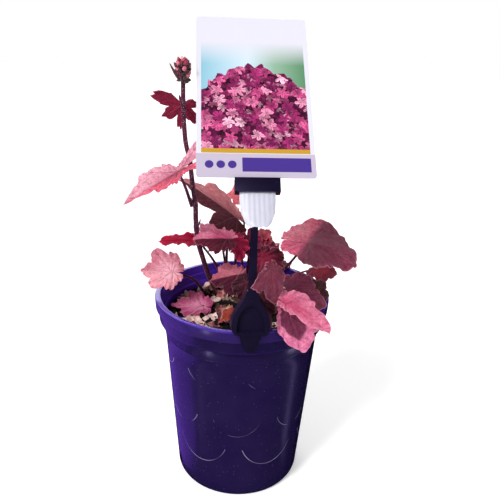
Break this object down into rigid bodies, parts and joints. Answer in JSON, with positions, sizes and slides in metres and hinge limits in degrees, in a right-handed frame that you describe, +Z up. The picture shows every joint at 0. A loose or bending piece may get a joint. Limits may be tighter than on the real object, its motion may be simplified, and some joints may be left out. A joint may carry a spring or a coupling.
{
  "type": "potted heuchera plant",
  "caption": "Potted perennial with lobed red and pink leaves, a budding flower stem, a stepped-lip nursery pot and a clip-on plant label.",
  "frame": {"origin": "on the pot's axis, on the underside of its base", "axes": "+Z up along the pot's axis, -Y towards the plant label at the front"},
  "size_m": [0.187, 0.177, 0.394],
  "materials": {
    "pot_plastic": "glossy injection-moulded deep purple plastic",
    "potting_mix": "damp dark bark and peat mix",
    "stem": "dark maroon living stem, slightly waxy",
    "bud": "soft pink and maroon flower buds",
    "leaf_pink": "velvety dusty pink leaf, crimson underneath",
    "leaf_crimson": "crimson leaf underside",
    "leaf_dark": "velvety dark mauve to maroon leaf",
    "dry_leaf": "dry papery dead leaf, tan to cream",
    "clip_plastic": "dark navy-purple moulded plastic",
    "label_card": "white printed plastic card"
  },
  "bodies": {
    "root": {"pot": "pot_plastic", "potting_mix": "potting_mix", "flower_stem": "stem", "flower_head": "bud", "stem_leaf_lower": "leaf_pink", "stem_leaf_upper": "leaf_crimson", "label_card": "label_card", "label_stake": "clip_plastic", "dry_leaf_left": "dry_leaf", "dry_leaf_back": "dry_leaf", "dry_leaf_curled": "leaf_crimson", "leaf_left": "leaf_pink", "leaf_left_edge": "leaf_crimson", "leaf_back_tall": "leaf_dark", "leaf_back_small": "leaf_pink", "leaf_centre_left": "leaf_dark", "leaf_centre": "leaf_dark", "leaf_centre_back": "leaf_dark", "leaf_back_red": "leaf_crimson", "leaf_back_pink": "leaf_pink", "leaf_back_mauve": "leaf_dark", "leaf_mid_crimson": "leaf_dark", "leaf_right_big": "leaf_dark", "leaf_right_small": "leaf_pink", "leaf_right_mid": "leaf_dark", "leaf_right_olive": "leaf_dark", "leaf_by_stake": "leaf_dark", "leaf_by_clip_right": "leaf_dark", "leaf_by_clip_left": "leaf_dark", "leaf_front_right": "leaf_pink", "leaf_front_low": "leaf_pink", "leaf_in_pot": "leaf_pink", "leaf_on_soil": "leaf_pink", "leaf_rear_right": "leaf_dark", "leaf_rear_left": "leaf_dark"}
  },
  "joints": []
}
